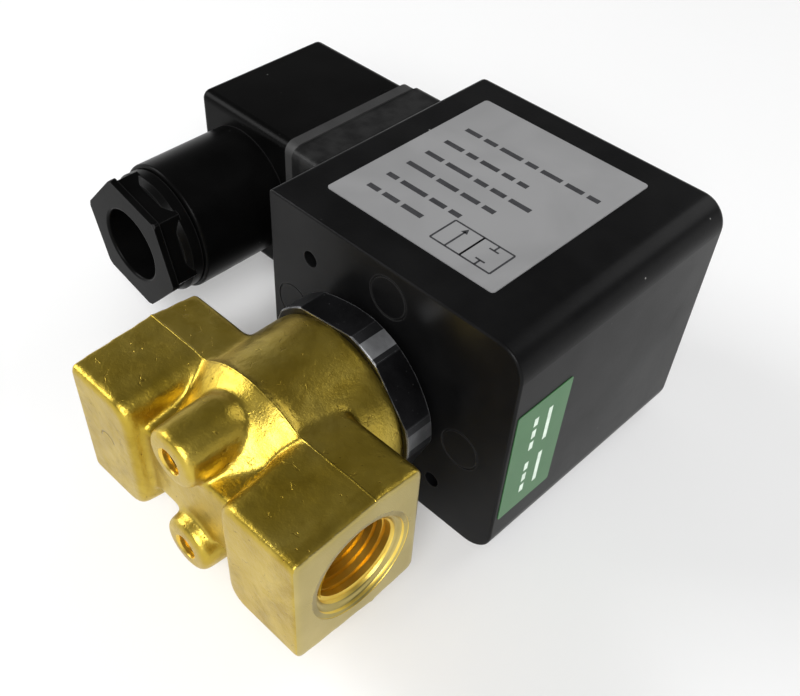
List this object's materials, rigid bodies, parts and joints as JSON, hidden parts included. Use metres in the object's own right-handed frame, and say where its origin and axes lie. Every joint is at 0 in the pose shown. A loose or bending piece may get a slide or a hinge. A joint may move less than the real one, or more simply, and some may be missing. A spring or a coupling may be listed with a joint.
{
  "type": "solenoid valve",
  "caption": "Direct-acting solenoid valve: forged brass body with threaded ports, moulded square coil and a plug connector with cable gland.",
  "frame": {"origin": "where the stem axis meets the flat base of the brass body, midway between the two base fixing holes", "axes": "+X along the ports towards the outlet, +Y along the stem from the base towards the coil, +Z out of the coil's name-plate face"},
  "size_m": [0.0836, 0.0902, 0.0411],
  "materials": {
    "body_brass": "forged and bead-blasted, machined port faces and threads",
    "nut_steel": "black-oxide steel with worn bright corners",
    "stainless": "turned stainless steel",
    "zinc_steel": "zinc-plated steel",
    "spring_steel": "drawn spring wire",
    "yoke_steel": "bent steel strip",
    "seal_rubber": "nitrile rubber",
    "coil_plastic": "black glass-filled moulding, fine texture",
    "plug_plastic": "black moulding with a satin skin",
    "gasket_rubber": "dark grey flat gasket",
    "bobbin_plastic": "natural moulding",
    "copper": "enamelled copper winding",
    "contact_metal": "tin-plated brass",
    "plate_foil": "matt silver foil label",
    "green_foil": "printed green film"
  },
  "bodies": {
    "valve": {"valve_body": "body_brass", "tube_nut": "nut_steel", "tube_o_ring": "seal_rubber", "armature_tube": "stainless", "fixed_core": "stainless", "coil_seal_lower": "seal_rubber", "coil_housing": "coil_plastic", "yoke_frame": "yoke_steel", "coil_bobbin": "bobbin_plastic", "coil_winding": "copper", "terminal_blades": "contact_metal", "clamp_washer": "zinc_steel", "lock_washer": "zinc_steel", "retaining_nut": "zinc_steel", "name_plate": "plate_foil", "voltage_label": "green_foil", "plug_gasket": "gasket_rubber", "plug_housing": "plug_plastic", "terminal_block": "bobbin_plastic", "terminal_contacts": "contact_metal", "terminal_screws": "zinc_steel", "plug_screw": "zinc_steel", "plug_screw_seal": "seal_rubber", "gland_grommet": "seal_rubber", "gland_washer": "stainless", "gland_nut": "plug_plastic", "return_spring": "spring_steel"},
    "armature": {"plunger": "stainless", "seat_seal": "seal_rubber"}
  },
  "joints": [
    {"name": "plunger_slide", "type": "slide", "parent": "valve", "child": "armature", "axis": [0, 1, 0], "range_m": [0, 0.002], "stiffness_N_per_m": 450, "springref_m": -0.006, "deforming": ["return_spring"]}
  ]
}
